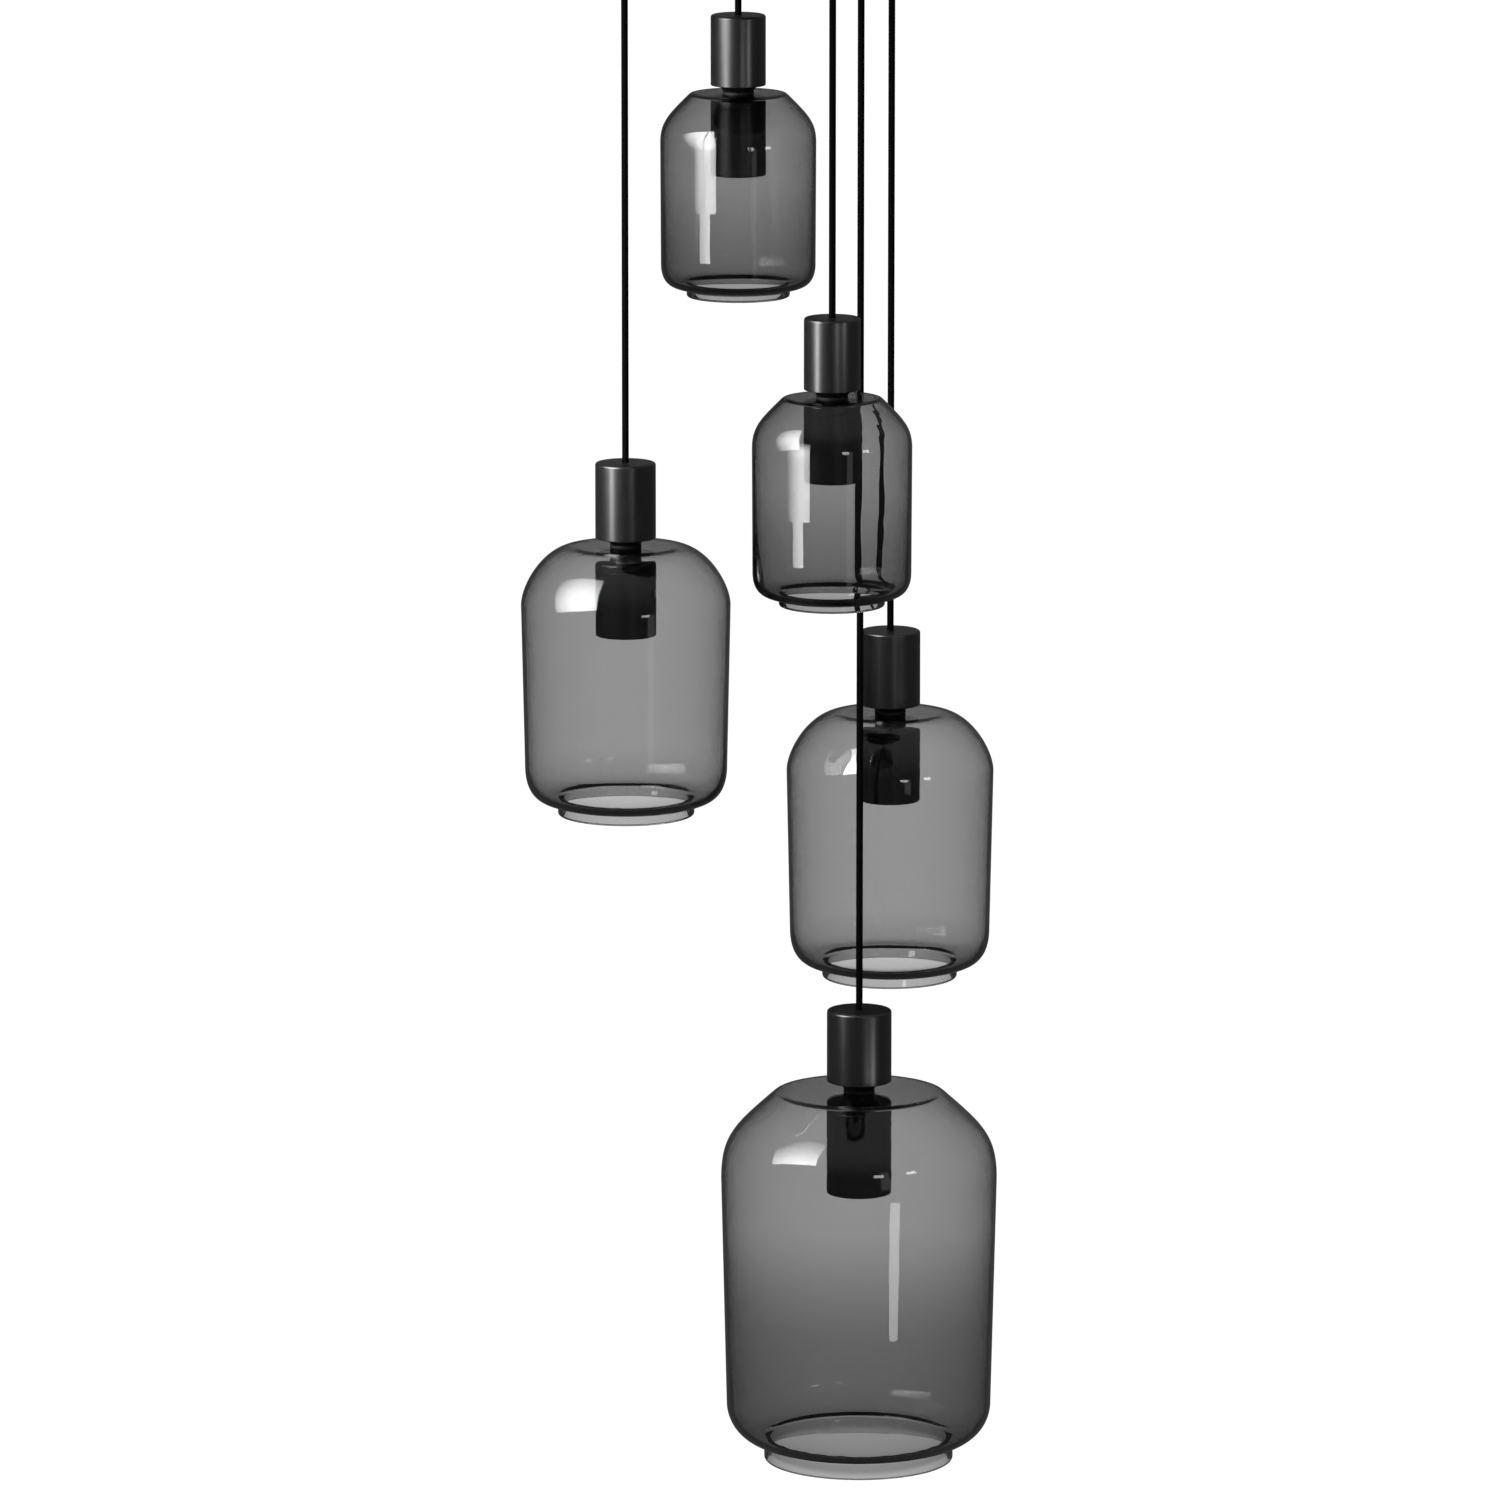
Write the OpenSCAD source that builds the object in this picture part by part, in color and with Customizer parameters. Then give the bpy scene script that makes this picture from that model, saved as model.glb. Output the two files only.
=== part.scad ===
// Cluster pendant light: five smoked-glass shades hung at different heights from one round canopy.
// The origin is the middle of the face that meets the ceiling, and +Z points up.

/* [Canopy] */
// Diameter of the round canopy
canopy_d = 400; // [396:1:480]
// Depth of the canopy below the ceiling
canopy_h = 40; // [38:1:60]
// Thickness of the canopy's spun sheet
canopy_wall = 1.5; // [1:0.1:2.5]
// Radius of the rolled edge round the canopy's underside
canopy_edge_r = 6; // [4:0.5:9]

/* [Ceiling bracket] */
// Width of the bracket's four arms
arm_w = 30; // [26:1:36]
// Thickness of the bracket's steel
arm_t = 2; // [1.5:0.1:3]
// Diameter of the bracket's middle disc
hub_d = 124; // [120:1:140]
// Length of the arms' turned-down ends
tab_h = 24; // [22:1:27]
// Diameter of the circle that the ceiling screws stand on
ceiling_pcd = 240; // [200:1:280]
// Diameter of the holes for the ceiling screws
ceiling_hole_d = 5.5; // [4.5:0.1:7]
// Diameter of the hole for the house cable
cable_hole_d = 20; // [16:1:24]
// Turn of the arms that keeps them off the cord outlets
arm_turn = 36.5; // [34:0.5:39]

/* [Fasteners] */
// Thread diameter of the canopy's side screws
side_screw_d = 4; // [3:0.5:5]
// Diameter of the knurled heads of the side screws
side_head_d = 12; // [9:0.5:14]
// Thickness of the knurled heads
side_head_t = 5; // [3:0.5:7]
// Depth of the side screws below the ceiling
side_screw_drop = 14; // [13:0.5:16]
// Thread diameter of the screws that hold the terminal block
block_screw_d = 3; // [2.5:0.5:3.5]
// Thread diameter of the earth screw
earth_screw_d = 4; // [3:0.5:5]

/* [Terminal block] */
// Length of the terminal block
block_l = 62; // [60:1:70]
// Width of the terminal block
block_w = 24; // [22:1:28]
// Height of the terminal block
block_h = 15; // [14:0.5:17]

/* [Cords] */
// Diameter of the round covered cords
cord_d = 6.5; // [5.5:0.1:7.5]
// Cord of lamp 1 between canopy grip and cap
cord_1_l = 107; // [80:1:140]
// Cord of lamp 2 between canopy grip and cap
cord_2_l = 354; // [320:1:400]
// Cord of lamp 3 between canopy grip and cap
cord_3_l = 522; // [480:1:560]
// Cord of lamp 4 between canopy grip and cap
cord_4_l = 702; // [660:1:740]
// Cord of lamp 5 between canopy grip and cap
cord_5_l = 1044; // [1000:1:1100]

/* [Cord outlets in the canopy] */
// Lamp 1's outlet along X
outlet_1_x = -52; // [-58:1:-46]
// Lamp 1's outlet along Y
outlet_1_y = 151; // [144:1:158]
// Lamp 2's outlet along X
outlet_2_x = 36; // [30:1:42]
// Lamp 2's outlet along Y
outlet_2_y = -171; // [-174:1:-168]
// Lamp 3's outlet along X
outlet_3_x = -159.5; // [-166:0.5:-152]
// Lamp 3's outlet along Y
outlet_3_y = 28; // [20:1:36]
// Lamp 4's outlet along X
outlet_4_x = 95; // [88:1:102]
// Lamp 4's outlet along Y
outlet_4_y = 130; // [124:1:136]
// Lamp 5's outlet along X
outlet_5_x = 64; // [60:1:70]
// Lamp 5's outlet along Y
outlet_5_y = -25; // [-31:1:-20]

/* [Canopy cord grips] */
// Thread diameter of the grips' stems
grip_stem_d = 10; // [9.5:0.1:11]
// Diameter of the grips' bodies under the canopy
grip_d = 16; // [15:0.5:20]
// Height of the grips' bodies under the canopy
grip_h = 14; // [13:0.5:18]
// Length of the grips' stems above the canopy's underside
grip_stem_l = 15; // [12:0.5:18]

/* [Small shade, lamps 1 and 2] */
// Widest outside diameter
small_shade_d = 150; // [136:1:170]
// Height from flat top to mouth
small_shade_h = 197; // [180:1:220]
// Diameter of the flat top
small_flat_d = 92; // [80:1:100]
// Depth of the shoulder
small_shoulder_h = 47.5; // [42:0.5:56]
// Outside diameter just above the foot
small_foot_d = 149; // [136:1:170]
// Height of the curve under the foot
small_foot_h = 24; // [16:0.5:28]
// Outside diameter of the mouth
small_mouth_d = 99.5; // [90:0.5:110]
// Height of the collar round the mouth
small_collar_h = 8; // [6:0.5:14]
// Diameter of the cap and of the socket cup
small_cap_d = 53; // [50:0.5:60]
// Height of the cap
small_cap_h = 68; // [62:0.5:90]
// Height of the cap's lower edge over the glass
small_cap_gap = 7.5; // [5:0.5:12]
// Height of the socket cup
small_cup_h = 73; // [71:0.5:84]
// Depth of the socket cup's top under the glass's flat top
small_cup_drop = 6; // [5.5:0.5:12]

/* [Medium shade, lamps 3 and 4] */
// Widest outside diameter
medium_shade_d = 200.6; // [186:1:230]
// Height from flat top to mouth
medium_shade_h = 261; // [240:1:290]
// Diameter of the flat top
medium_flat_d = 95; // [80:1:110]
// Depth of the shoulder
medium_shoulder_h = 57; // [50:0.5:70]
// Outside diameter just above the foot
medium_foot_d = 194; // [180:1:220]
// Height of the curve under the foot
medium_foot_h = 37; // [30:0.5:46]
// Outside diameter of the mouth
medium_mouth_d = 131; // [120:0.5:145]
// Height of the collar round the mouth
medium_collar_h = 11; // [6:0.5:14]
// Diameter of the cap and of the socket cup
medium_cap_d = 58; // [54:0.5:66]
// Height of the cap
medium_cap_h = 73; // [66:0.5:95]
// Height of the cap's lower edge over the glass
medium_cap_gap = 7.5; // [5:0.5:12]
// Height of the socket cup
medium_cup_h = 72; // [71:0.5:90]
// Depth of the socket cup's top under the glass's flat top
medium_cup_drop = 14.5; // [8:0.5:20]

/* [Large shade, lamp 5] */
// Widest outside diameter
large_shade_d = 265; // [250:1:290]
// Height from flat top to mouth
large_shade_h = 362; // [330:1:400]
// Diameter of the flat top
large_flat_d = 160; // [140:1:172]
// Depth of the shoulder
large_shoulder_h = 85; // [76:0.5:100]
// Outside diameter just above the foot
large_foot_d = 254.5; // [240:1:280]
// Height of the curve under the foot
large_foot_h = 39; // [32:0.5:50]
// Outside diameter of the mouth
large_mouth_d = 182; // [170:0.5:200]
// Height of the collar round the mouth
large_collar_h = 17.5; // [12:0.5:22]
// Diameter of the cap and of the socket cup
large_cap_d = 62; // [58:0.5:70]
// Height of the cap
large_cap_h = 70; // [64:0.5:95]
// Height of the cap's lower edge over the glass
large_cap_gap = 10; // [6:0.5:14]
// Height of the socket cup
large_cup_h = 89; // [76:0.5:110]
// Depth of the socket cup's top under the glass's flat top
large_cup_drop = 10.5; // [8:0.5:16]

/* [Glass, caps and cups] */
// Thickness of the blown glass
glass_t = 3; // [2.4:0.1:3.6]
// Thickness of the caps' and cups' side walls
cap_wall = 1.8; // [1.2:0.1:2.4]
// Thickness of the caps' and cups' end plates
cap_top_t = 3; // [2:0.1:4]
// Radius of the turned edges of the caps and cups
cap_edge_r = 2.5; // [1.5:0.1:3]
// Depth of the fine groove round each cup, below its top
groove_drop = 8; // [6:0.5:12]
// Thread diameter of the hollow stem through the glass
stem_d = 20; // [18:0.5:22]
// Diameter of the wire bore through the stem
stem_bore_d = 13; // [11:0.5:14]
// Diameter of the neck and of the gaskets that clamp the glass
neck_d = 30; // [29:0.5:34]
// Thickness of each silicone gasket
gasket_t = 1.5; // [1:0.1:2]
// Height of the clamp ring inside the cap
clamp_ring_h = 8; // [6:0.5:12]
// Diameter of the clamp ring's foot where it leaves the cap
clamp_foot_d = 40; // [37:0.5:42]

/* [Lampholder] */
// Outside diameter of the lampholder's body
holder_d = 40; // [38:0.5:42]
// Height of the lampholder's body
holder_h = 54; // [52:0.5:58]
// Depth of the lampholder's closed upper part
holder_plug_h = 18; // [14:0.5:20]
// Inside diameter of the brass thread shell, for E27 lamps
shell_d = 26.4; // [26:0.1:26.8]
// Length of the brass thread shell
shell_l = 24; // [20:0.5:28]
// Thickness of the brass thread shell
shell_t = 0.5; // [0.4:0.1:0.8]
// Depth of the recess above the shell that holds the centre contact
contact_room_h = 4.6; // [4.2:0.1:6]
// Distance of the lampholder's mouth inside the cup's rim
holder_recess = 6; // [4:0.5:8]

/* [Clearances] */
// Gap round a cord where it passes through a plate or a grip
cord_clear = 0.2; // [0.1:0.05:0.3]
// Gap round a screw in its thread
thread_clear = 0.05; // [0.03:0.01:0.1]
// Gap round a screw or stem in a plain hole
hole_clear = 0.3; // [0.2:0.05:0.5]
// Gap between each moving cord end and its neighbour
swing_gap = 0.4; // [0.35:0.05:0.45]

/* [Hidden] */
LAMPS = [1:5];
LAMP_PARTS = ["cord_root", "cord", "cord_clamp", "top_cap", "clamp_ring", "glass_gaskets",
    "glass_shade", "socket_cup", "lampholder", "lamp_contacts"];
CANOPY_PARTS = ["canopy", "ceiling_bracket", "canopy_screws", "canopy_cord_grips", "grip_nuts",
    "terminal_block", "block_screws", "inner_leads", "earth_screw"];
$fn = 96;

// Colours of the finishes
black_metal = "#1c1c1d";
smoked_glass = [0.36, 0.36, 0.37, 0.5];
bare_steel = "#b9bcc0";
brass = "#c9a24a";
black_cord = "#161616";
white_nylon = "#e8e6df";
dark_phenolic = "#2a2624";
silicone = "#0e0e0f";

// Each lamp's outlet, cord and shade size: 0 small, 1 medium, 2 large
OUTLETS = [[outlet_1_x, outlet_1_y], [outlet_2_x, outlet_2_y], [outlet_3_x, outlet_3_y],
    [outlet_4_x, outlet_4_y], [outlet_5_x, outlet_5_y]];
CORDS = [cord_1_l, cord_2_l, cord_3_l, cord_4_l, cord_5_l];
SIZES = [0, 0, 1, 1, 2];
function outlet(n) = OUTLETS[n - 1];
function cord_l(n) = CORDS[n - 1];
function sized(n, values) = values[SIZES[n - 1]];

// Sizes of one lamp, picked by its number
function shade_r(n) = sized(n, [small_shade_d, medium_shade_d, large_shade_d]) / 2;
function shade_h(n) = sized(n, [small_shade_h, medium_shade_h, large_shade_h]);
function flat_r(n) = sized(n, [small_flat_d, medium_flat_d, large_flat_d]) / 2;
function shoulder_h(n) = sized(n, [small_shoulder_h, medium_shoulder_h, large_shoulder_h]);
function foot_r(n) = sized(n, [small_foot_d, medium_foot_d, large_foot_d]) / 2;
function foot_h(n) = sized(n, [small_foot_h, medium_foot_h, large_foot_h]);
function mouth_r(n) = sized(n, [small_mouth_d, medium_mouth_d, large_mouth_d]) / 2;
function collar_h(n) = sized(n, [small_collar_h, medium_collar_h, large_collar_h]);
function cap_r(n) = sized(n, [small_cap_d, medium_cap_d, large_cap_d]) / 2;
function cap_h(n) = sized(n, [small_cap_h, medium_cap_h, large_cap_h]);
function cap_gap(n) = sized(n, [small_cap_gap, medium_cap_gap, large_cap_gap]);
function cup_h(n) = sized(n, [small_cup_h, medium_cup_h, large_cup_h]);
function cup_drop(n) = sized(n, [small_cup_drop, medium_cup_drop, large_cup_drop]);

// Fall of each shoulder where it leaves the flat top, and how full its curves are
shoulder_fall = [45, 0, 42];
shoulder_fullness = [[0.46, 0.33], [0.37, 0.24], [0.47, 0.38]];
foot_fullness = [[1, 0.35], [0.8, 0.55], [0.6, 0.5]];
flat_bend = [5, 2, 9];

cord_r = cord_d / 2;
cord_hole_r = cord_r + cord_clear;
canopy_r = canopy_d / 2;
floor_z = -canopy_h;
deck_z = floor_z + canopy_wall;
hub_r = hub_d / 2;

// A cord leaves its grip at the mouth, and swings about a point just inside it
mouth_z = floor_z - grip_h;
pivot_z = mouth_z + 1;
root_l = 4;
root_room_r = cord_r + 1.05;
root_top_gap = 0.7;
root_room_z = pivot_z + swing_gap + root_l + root_top_gap;
grip_mouth_r = cord_r + 1.75;
grip_top_z = floor_z + grip_stem_l;
grip_stem_r = grip_stem_d / 2;

// Side screws: the tabs stand just inside the canopy's round wall
tab_x = sqrt(pow(canopy_r - canopy_wall - hole_clear, 2) - pow(arm_w / 2, 2));
weld_nut_l = 4;
weld_nut_w = 8;
side_screw_r = side_screw_d / 2;
bend_r = 1.5;

// The block lies off the middle, beside the hole for the house cable
block_x = 16;
cable_x = -38;
block_z = -arm_t - block_h / 2;
lead_reach = 6;
nut_flange_t = 1;
nut_h = 3;
nut_flats = grip_stem_d + 4;
block_screw_x = block_l / 2 - 3.5;
block_head_t = 2;
earth_at = [-34, -34];
// Where each lamp's lead enters the block: X, and 1 for the back or -1 for the front
LEAD_ENTRIES = [[14, 1], [6, -1], [-4, 1], [32, 1], [30, -1]];

// Heights in a lamp's own frame, from the glass's flat top
stem_r = stem_d / 2;
stem_bore_r = stem_bore_d / 2;
neck_r = neck_d / 2;
glass_hole_r = stem_r + hole_clear;
ring_gap = 1;
sheath_inside = 30;
core_r = 0.9;
core_ring_r = 1.9;
shell_r = shell_d / 2;
clamp_flange_r = 9;
clamp_body_r = 7;
clamp_nut_r = 8;
contact_room_r = 7;
function lamp_z(n) = mouth_z - cord_l(n) - cap_h(n) - cap_gap(n);
function cap_top_z(n) = cap_gap(n) + cap_h(n);
function sheath_end_z(n) = cap_top_z(n) - sheath_inside;
function cup_z(n) = -cup_drop(n);
function cup_rim_z(n) = cup_z(n) - cup_h(n);
function cup_deck_z(n) = cup_z(n) - cap_top_t;
function holder_end_z(n) = cup_rim_z(n) + holder_recess;
function holder_top_z(n) = holder_end_z(n) + holder_h;
function plug_z(n) = holder_top_z(n) - holder_plug_h;

module at_lamp(n) translate([outlet(n).x, outlet(n).y, lamp_z(n)]) children();
module at_outlet(n) translate([outlet(n).x, outlet(n).y, 0]) children();
module turned(outline) rotate_extrude() polygon(outline);

// Points of an arc about c, from angle a to angle b
function arc(c, r, a, b, steps = 6) =
    [for (i = [0:steps]) c + r * [cos(a + (b - a) * i / steps), sin(a + (b - a) * i / steps)]];

// Points of a cubic curve with four controls
function curve_point(p, t) =
    pow(1 - t, 3) * p[0] + 3 * pow(1 - t, 2) * t * p[1] + 3 * (1 - t) * t * t * p[2] + pow(t, 3) * p[3];
function curve(p, steps, first = 0) = [for (i = [first:steps]) curve_point(p, i / steps)];

function unit(v) = v / norm(v);
function inward(d) = [d.y, -d.x];

// The inside of a wall of thickness t, whose outside runs through the points p from top to mouth
function inside(p, t) = let (last = len(p) - 1) [for (i = [0:last])
    let (
        a = unit(p[max(i, 1)] - p[max(i, 1) - 1]),
        b = unit(p[min(i, last - 1) + 1] - p[min(i, last - 1)]),
        n = unit(inward(a) + inward(b))
    )
    p[i] + n * t / (n * inward(a))];
function reversed(p) = [for (i = [len(p) - 1:-1:0]) p[i]];

// Outside of a shade from the hole in its flat top, over the shoulder, down to the mouth
function shade_outside(n) =
    let (
        fall = sized(n, shoulder_fall),
        bend = sized(n, flat_bend),
        down = [cos(fall), -sin(fall)],
        corner = [flat_r(n), 0],
        start = corner + bend * down,
        widest = [shade_r(n), -shoulder_h(n)],
        span = norm(widest - corner),
        full = sized(n, shoulder_fullness),
        foot_z = -shade_h(n) + collar_h(n) + foot_h(n),
        foot = [foot_r(n), foot_z],
        collar = [mouth_r(n), -shade_h(n) + collar_h(n)],
        foot_full = sized(n, foot_fullness)
    )
    concat(
        [[glass_hole_r, 0]],
        curve([corner - [bend, 0], corner, corner, start], 4),
        curve([start, start + full[0] * span * down, widest + [0, full[1] * span], widest], 12, 1),
        curve([foot, foot - [0, foot_full[0] * foot_h(n)],
            collar + [foot_full[1] * (foot_r(n) - mouth_r(n)), 0.5], collar], 10),
        [[mouth_r(n), -shade_h(n)]]
    );

// Side direction carried from ring to ring, so that the tube doesn't twist
function carried(p, i, side) =
    let (
        d = unit(p[min(i + 1, len(p) - 1)] - p[max(i - 1, 0)]),
        s = unit(side - (side * d) * d)
    )
    i == len(p) - 1 ? [[s, cross(d, s)]] : concat([[s, cross(d, s)]], carried(p, i + 1, s));
// Round tube swept through the points p
module tube(p, r, sides = 12) {
    frames = carried(p, 0, [1, 0, 0]);
    rings = len(p);
    points = [for (i = [0:rings - 1], k = [0:sides - 1])
        p[i] + r * (frames[i][0] * cos(360 * k / sides) + frames[i][1] * sin(360 * k / sides))];
    polyhedron(points, concat(
        [[for (k = [0:sides - 1]) k]],
        [for (i = [0:rings - 2], k = [0:sides - 1])
            [(i + 1) * sides + (k + 1) % sides, i * sides + (k + 1) % sides, i * sides + k]],
        [for (i = [0:rings - 2], k = [0:sides - 1])
            [(i + 1) * sides + k, (i + 1) * sides + (k + 1) % sides, i * sides + k]],
        [[for (k = [sides - 1:-1:0]) (rings - 1) * sides + k]]
    ), convexity = 6);
}

// Spun pan with five holes for the cord grips and four for the side screws
module canopy() color(black_metal) difference() {
    turned(concat(
        [[0, deck_z], [0, floor_z]],
        arc([canopy_r - canopy_edge_r, floor_z + canopy_edge_r], canopy_edge_r, -90, 0),
        [[canopy_r, 0], [canopy_r - canopy_wall, 0]],
        arc([canopy_r - canopy_edge_r, floor_z + canopy_edge_r], canopy_edge_r - canopy_wall, 0, -90)
    ));
    for (n = LAMPS) at_outlet(n) translate([0, 0, floor_z - 1])
        cylinder(r = grip_stem_r + hole_clear, h = canopy_wall + 2);
    for_arms() translate([canopy_r - 2 * canopy_wall, 0, -side_screw_drop]) rotate([0, 90, 0])
        cylinder(r = side_screw_r + hole_clear, h = 4 * canopy_wall);
}

module for_arms() for (k = [0:3]) rotate(arm_turn + 90 * k) children();

// Cross plate with turned-down ends, drilled for the ceiling screws and the house cable
module ceiling_bracket() color(bare_steel) difference() {
    union() {
        translate([0, 0, -arm_t]) cylinder(r = hub_r, h = arm_t);
        for_arms() arm();
    }
    for_arms() {
        translate([ceiling_pcd / 2, 0, -arm_t - 1]) cylinder(d = ceiling_hole_d, h = arm_t + 2);
        translate([tab_x - arm_t - weld_nut_l - 1, 0, -side_screw_drop]) rotate([0, 90, 0])
            cylinder(r = side_screw_r + thread_clear, h = arm_t + weld_nut_l + 2);
    }
    translate([cable_x, 0, -arm_t - 1]) cylinder(d = cable_hole_d, h = arm_t + 2);
    for (s = [-1, 1]) translate([block_x + s * block_screw_x, 0, -arm_t - 1])
        cylinder(d = block_screw_d + 2 * thread_clear, h = arm_t + 2);
    translate([earth_at.x, earth_at.y, -arm_t - 1])
        cylinder(d = earth_screw_d + 2 * thread_clear, h = arm_t + 2);
}

// One arm, bent down at its end, with the weld nut of a side screw
module arm() {
    rotate([90, 0, 0]) linear_extrude(arm_w, center = true) {
        translate([hub_r - 10, -arm_t]) square([tab_x - hub_r + 10 - arm_t - bend_r, arm_t]);
        translate([tab_x - arm_t, -tab_h]) square([arm_t, tab_h - arm_t - bend_r]);
        translate([tab_x - arm_t - bend_r, -arm_t - bend_r]) intersection() {
            difference() {
                circle(bend_r + arm_t);
                circle(bend_r);
            }
            square(bend_r + arm_t);
        }
    }
    translate([tab_x - arm_t - weld_nut_l, -weld_nut_w / 2, -side_screw_drop - weld_nut_w / 2])
        cube([weld_nut_l + 0.1, weld_nut_w, weld_nut_w]);
}

// Thumb screws that hold the canopy on the bracket's ends
module canopy_screws() color(black_metal) for_arms() translate([canopy_r, 0, -side_screw_drop])
    rotate([0, 90, 0]) turned([
        [0, tab_x - arm_t - weld_nut_l - canopy_r], [side_screw_r, tab_x - arm_t - weld_nut_l - canopy_r],
        [side_screw_r, 0], [side_head_d / 2 - 0.5, 0], [side_head_d / 2, 0.5],
        [side_head_d / 2, side_head_t - 1], [side_head_d / 2 - 1, side_head_t], [0, side_head_t]
    ]);

// Turned grips: a threaded stem through the canopy, and a body with a flared mouth below
module canopy_cord_grips() color(black_metal) for (n = LAMPS) at_outlet(n) turned([
    [cord_hole_r, grip_top_z], [cord_hole_r, root_room_z], [root_room_r, root_room_z],
    [root_room_r, mouth_z + 1.5], [grip_mouth_r, mouth_z], [grip_d / 2 - 1.5, mouth_z],
    [grip_d / 2, mouth_z + 1.5], [grip_d / 2, floor_z], [grip_stem_r, floor_z],
    [grip_stem_r, grip_top_z - 0.5], [grip_stem_r - 0.5, grip_top_z]
]);

// A flanged hex nut on each grip's stem
module grip_nuts() color(bare_steel) for (n = LAMPS) at_outlet(n) translate([0, 0, deck_z]) difference() {
    union() {
        cylinder(r = nut_flats / 2 + 2, h = nut_flange_t);
        cylinder(d = nut_flats / cos(30), h = nut_flange_t + nut_h, $fn = 6);
    }
    translate([0, 0, -1]) cylinder(r = grip_stem_r + thread_clear, h = nut_flange_t + nut_h + 2);
}

// Moulded block under the bracket, with five lead entries and its clamping wells
module terminal_block() color(white_nylon) translate([block_x, 0, -arm_t - block_h]) difference() {
    translate([-block_l / 2, -block_w / 2, 0]) cube([block_l, block_w, block_h]);
    for (n = LAMPS) translate([LEAD_ENTRIES[n - 1].x - block_x, LEAD_ENTRIES[n - 1].y * block_w / 2, block_h / 2])
        rotate([90, 0, 0]) cylinder(r = cord_hole_r, h = 2 * lead_reach + 1, center = true);
    for (k = [-2:2]) translate([k * 9, 0, -1]) cylinder(r = 2.4, h = 5);
    for (s = [-1, 1]) translate([s * block_screw_x, 0, -1]) {
        cylinder(d = block_screw_d + 2 * hole_clear, h = block_h + 2);
        cylinder(d = 2 * block_screw_d, h = block_head_t + 2);
    }
}

// Screws up through the block into the bracket
module block_screws() color(bare_steel) for (s = [-1, 1])
    translate([block_x + s * block_screw_x, 0, -arm_t - block_h + 1]) {
        cylinder(d = block_screw_d, h = block_h + arm_t - 1);
        cylinder(d = 2 * block_screw_d - 0.6, h = block_head_t);
    }

// Leads from the grips to the terminal block, each a continuation of a lamp's cord
module inner_leads() color(black_cord) for (n = LAMPS) {
    entry = [LEAD_ENTRIES[n - 1].x, LEAD_ENTRIES[n - 1].y * (block_w / 2 - lead_reach + 0.5), block_z];
    out = [0, LEAD_ENTRIES[n - 1].y, 0];
    outside = entry + (lead_reach + 3) * out;
    top = [outlet(n).x, outlet(n).y, grip_top_z];
    pull = norm(top - outside) / 3;
    tube(concat(
        [[outlet(n).x, outlet(n).y, root_room_z], top],
        curve([top, top + [0, 0, block_z - grip_top_z], outside + pull * out, outside], 10, 1),
        [entry]
    ), cord_r);
}

// Screw and washer for the earth wire, under the bracket
module earth_screw() color(brass) translate([earth_at.x, earth_at.y, -arm_t - 1]) {
    cylinder(d = earth_screw_d, h = arm_t + 1);
    difference() {
        cylinder(d = 2.4 * earth_screw_d, h = 1);
        translate([0, 0, -1]) cylinder(d = earth_screw_d - 1, h = 3);
    }
    translate([0, 0, -2.4]) cylinder(d = 1.9 * earth_screw_d, h = 2.4);
}

// Short end of a cord inside its grip, between the fixed lead and the swinging cord
module cord_root(n) color(black_cord) at_outlet(n) translate([0, 0, pivot_z + swing_gap])
    cylinder(r = cord_r, h = root_l);

// Cord of one lamp, from the pivot down to the end of its sheath inside the cap
module cord(n) color(black_cord) translate([outlet(n).x, outlet(n).y, lamp_z(n) + sheath_end_z(n)])
    cylinder(r = cord_r, h = pivot_z - swing_gap - lamp_z(n) - sheath_end_z(n));

// Gland under the cap's top plate that carries the lamp on its cord
module cord_clamp(n) color(white_nylon) at_lamp(n) translate([0, 0, cap_top_z(n) - cap_top_t])
    difference() {
        union() {
            translate([0, 0, -3]) cylinder(r = clamp_flange_r, h = 3);
            translate([0, 0, -16]) cylinder(r = clamp_body_r, h = 14);
            translate([0, 0, -20]) cylinder(r = clamp_nut_r, h = 6, $fn = 6);
        }
        translate([0, 0, -21]) cylinder(r = cord_r + cord_clear / 2, h = 22);
    }

// Cylinder closed at the top, above the glass
module top_cap(n) color(black_metal) at_lamp(n) turned(concat(
    [[cord_hole_r, cap_top_z(n) - cap_top_t], [cord_hole_r, cap_top_z(n)]],
    arc([cap_r(n) - cap_edge_r, cap_top_z(n) - cap_edge_r], cap_edge_r, 90, 0),
    [[cap_r(n), cap_gap(n) + 0.6], [cap_r(n) - 0.6, cap_gap(n)], [cap_r(n) - cap_wall, cap_gap(n)],
        [cap_r(n) - cap_wall, cap_top_z(n) - cap_top_t]]
));

// Threaded ring inside the cap: its foot presses the upper gasket on the glass
module clamp_ring(n) color(bare_steel) at_lamp(n) {
    rim = cap_r(n) - cap_wall - thread_clear;
    low = cap_gap(n) + ring_gap;
    turned([
        [stem_r + thread_clear, gasket_t], [neck_r - 1, gasket_t], [clamp_foot_d / 2, low], [rim, low],
        [rim, low + clamp_ring_h], [rim - 3, low + clamp_ring_h], [rim - 4, low + 3],
        [stem_r + 6, low + 3], [stem_r + 5, low + clamp_ring_h], [stem_r + thread_clear, low + clamp_ring_h]
    ]);
}

// Two soft rings, above and below the flat top of the glass
module glass_gaskets(n) color(silicone) at_lamp(n) for (z = [0, -glass_t - gasket_t])
    turned([
        [stem_r + thread_clear, z], [neck_r, z], [neck_r, z + gasket_t], [stem_r + thread_clear, z + gasket_t]
    ]);

// Blown smoked-glass shade, open at the mouth
module glass_shade(n) color(smoked_glass) at_lamp(n) {
    outside = shade_outside(n);
    turned(concat(outside, reversed(inside(outside, glass_t))));
}

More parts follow.
